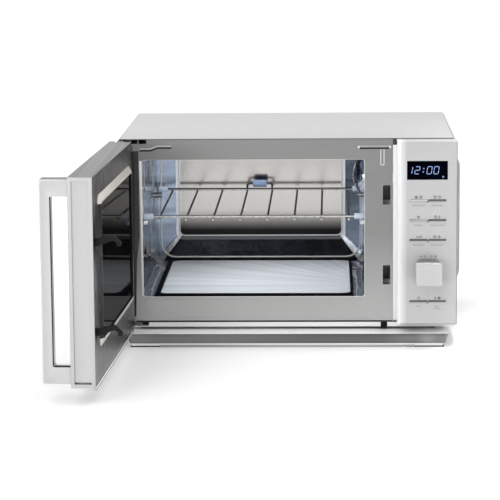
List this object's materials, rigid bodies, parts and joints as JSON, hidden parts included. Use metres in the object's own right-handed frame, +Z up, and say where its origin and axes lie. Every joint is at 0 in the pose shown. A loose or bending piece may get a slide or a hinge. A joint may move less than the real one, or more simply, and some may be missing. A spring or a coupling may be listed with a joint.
{
  "type": "grill microwave oven",
  "caption": "Countertop flatbed microwave oven with grill: boxy casing, side-hung door shown open, wire rack, ceramic floor, control panel with display, slim keys and a square knob.",
  "frame": {"origin": "on the table, under the middle of the whole oven with its door open as stored", "axes": "+Z up; +Y from the front of the oven to its back, along the longest extent with the door open; +X to the right as seen from the front"},
  "size_m": [0.5162, 0.7198, 0.2765],
  "materials": {
    "casing_paint": "fine satin silver",
    "front_steel": "brushed",
    "bright_steel": "bright annealed",
    "back_enamel": "satin",
    "ceramic": "glossy glass ceramic",
    "seal_rubber": "matt",
    "zinc_sheet": "zinc coated",
    "motor_steel": "bare steel",
    "blade_alu": "satin",
    "core_varnish": "varnished laminations",
    "can_alu": "satin",
    "fan_plastic": "matt",
    "quartz": "satin",
    "lamp_holder": "matt",
    "rack_chrome": "polished",
    "sleeve_ceramic": "glazed ceramic",
    "plinth_paint": "satin",
    "foot_plastic": "matt",
    "gland_plastic": "matt",
    "screw_zinc": "zinc coated",
    "clip_plastic": "matt",
    "hinge_steel": "zinc coated",
    "door_paint": "fine satin silver",
    "door_glass": "dark tinted, polished",
    "panel_steel": "brushed",
    "choke_plastic": "satin",
    "inner_glass": "black, polished",
    "screen_steel": "black enamel",
    "handle_paint": "fine satin silver",
    "latch_plastic": "matt",
    "bush_plastic": "matt",
    "board_plastic": "matt",
    "switch_plastic": "matt",
    "panel_paint": "fine satin silver",
    "display_lens": "dark blue tinted",
    "circuit_board": "solder resist",
    "key_plastic": "satin",
    "knob_paint": "fine satin silver"
  },
  "bodies": {
    "oven": {"outer_casing": "casing_paint", "front_plate": "front_steel", "cavity_shell": "bright_steel", "cavity_back": "back_enamel", "ceramic_plate": "ceramic", "floor_seal": "seal_rubber", "stirrer_well": "zinc_sheet", "stirrer_motor": "motor_steel", "waveguide": "zinc_sheet", "magnetron": "motor_steel", "hv_transformer": "core_varnish", "hv_capacitor": "can_alu", "fan_shroud": "fan_plastic", "fan_motor": "motor_steel", "grill_screen": "bright_steel", "grill_reflector": "bright_steel", "grill_heater": "quartz", "oven_lamp": "lamp_holder", "lamp_dome": "bright_steel", "rack_studs": "bright_steel", "base_pan": "zinc_sheet", "plinth": "plinth_paint", "feet": "foot_plastic", "rear_panel": "zinc_sheet", "cord_gland": "gland_plastic", "rear_screws": "screw_zinc", "bumper_clip": "clip_plastic", "upper_hinge": "hinge_steel", "lower_hinge": "hinge_steel", "latch_board": "board_plastic", "interlock_switches": "switch_plastic", "control_housing": "panel_paint", "display_window": "display_lens", "control_board": "circuit_board", "encoder": "motor_steel", "key_switches": "switch_plastic"},
    "door": {"door_frame": "door_paint", "door_glass": "door_glass", "door_panel": "panel_steel", "choke_frame": "choke_plastic", "inner_glass": "inner_glass", "door_screen": "screen_steel", "handle": "handle_paint", "handle_screws": "screw_zinc", "hinge_bushes": "bush_plastic"},
    "latch": {"latch_hooks": "latch_plastic"},
    "rack": {"rack": "rack_chrome", "rack_sleeves": "sleeve_ceramic"},
    "knob": {"knob": "knob_paint", "encoder_shaft": "motor_steel"},
    "fan": {"fan_wheel": "fan_plastic"},
    "stirrer": {"stirrer_blade": "blade_alu"},
    "key_1_left": {"key_1_left": "key_plastic"},
    "key_1_right": {"key_1_right": "key_plastic"},
    "key_2_left": {"key_2_left": "key_plastic"},
    "key_2_right": {"key_2_right": "key_plastic"},
    "key_3_left": {"key_3_left": "key_plastic"},
    "key_3_right": {"key_3_right": "key_plastic"},
    "key_4_left": {"key_4_left": "key_plastic"},
    "key_4_right": {"key_4_right": "key_plastic"}
  },
  "joints": [
    {"name": "door_hinge", "type": "hinge", "parent": "oven", "child": "door", "pos_m": [-0.19428, 0.00692, 0.13825], "axis": [0, 0, -1], "range_deg": [-92.5, 12.5]},
    {"name": "latch_slide", "type": "slide", "parent": "door", "child": "latch", "axis": [0, 0, 1], "range_m": [-0.003, 0], "stiffness_N_per_m": 600, "springref_m": 0.002},
    {"name": "rack_slide", "type": "slide", "parent": "oven", "child": "rack", "axis": [0, -1, 0], "range_m": [0, 0.26]},
    {"name": "knob_turn", "type": "hinge", "parent": "oven", "child": "knob", "pos_m": [0.21402, -0.00708, 0.1021], "axis": [0, -1, 0], "continuous": true},
    {"name": "fan_spin", "type": "hinge", "parent": "oven", "child": "fan", "pos_m": [0.19607, 0.32692, 0.15], "axis": [0, 1, 0], "continuous": true},
    {"name": "stirrer_spin", "type": "hinge", "parent": "oven", "child": "stirrer", "pos_m": [-0.01828, 0.18242, 0.0585], "axis": [0, 0, 1], "continuous": true},
    {"name": "key_1_left_press", "type": "slide", "parent": "oven", "child": "key_1_left", "axis": [0, 1, 0], "range_m": [0, 0.001], "stiffness_N_per_m": 400},
    {"name": "key_1_right_press", "type": "slide", "parent": "oven", "child": "key_1_right", "axis": [0, 1, 0], "range_m": [0, 0.001], "stiffness_N_per_m": 400},
    {"name": "key_2_left_press", "type": "slide", "parent": "oven", "child": "key_2_left", "axis": [0, 1, 0], "range_m": [0, 0.001], "stiffness_N_per_m": 400},
    {"name": "key_2_right_press", "type": "slide", "parent": "oven", "child": "key_2_right", "axis": [0, 1, 0], "range_m": [0, 0.001], "stiffness_N_per_m": 400},
    {"name": "key_3_left_press", "type": "slide", "parent": "oven", "child": "key_3_left", "axis": [0, 1, 0], "range_m": [0, 0.001], "stiffness_N_per_m": 400},
    {"name": "key_3_right_press", "type": "slide", "parent": "oven", "child": "key_3_right", "axis": [0, 1, 0], "range_m": [0, 0.001], "stiffness_N_per_m": 400},
    {"name": "key_4_left_press", "type": "slide", "parent": "oven", "child": "key_4_left", "axis": [0, 1, 0], "range_m": [0, 0.001], "stiffness_N_per_m": 400},
    {"name": "key_4_right_press", "type": "slide", "parent": "oven", "child": "key_4_right", "axis": [0, 1, 0], "range_m": [0, 0.001], "stiffness_N_per_m": 400}
  ]
}
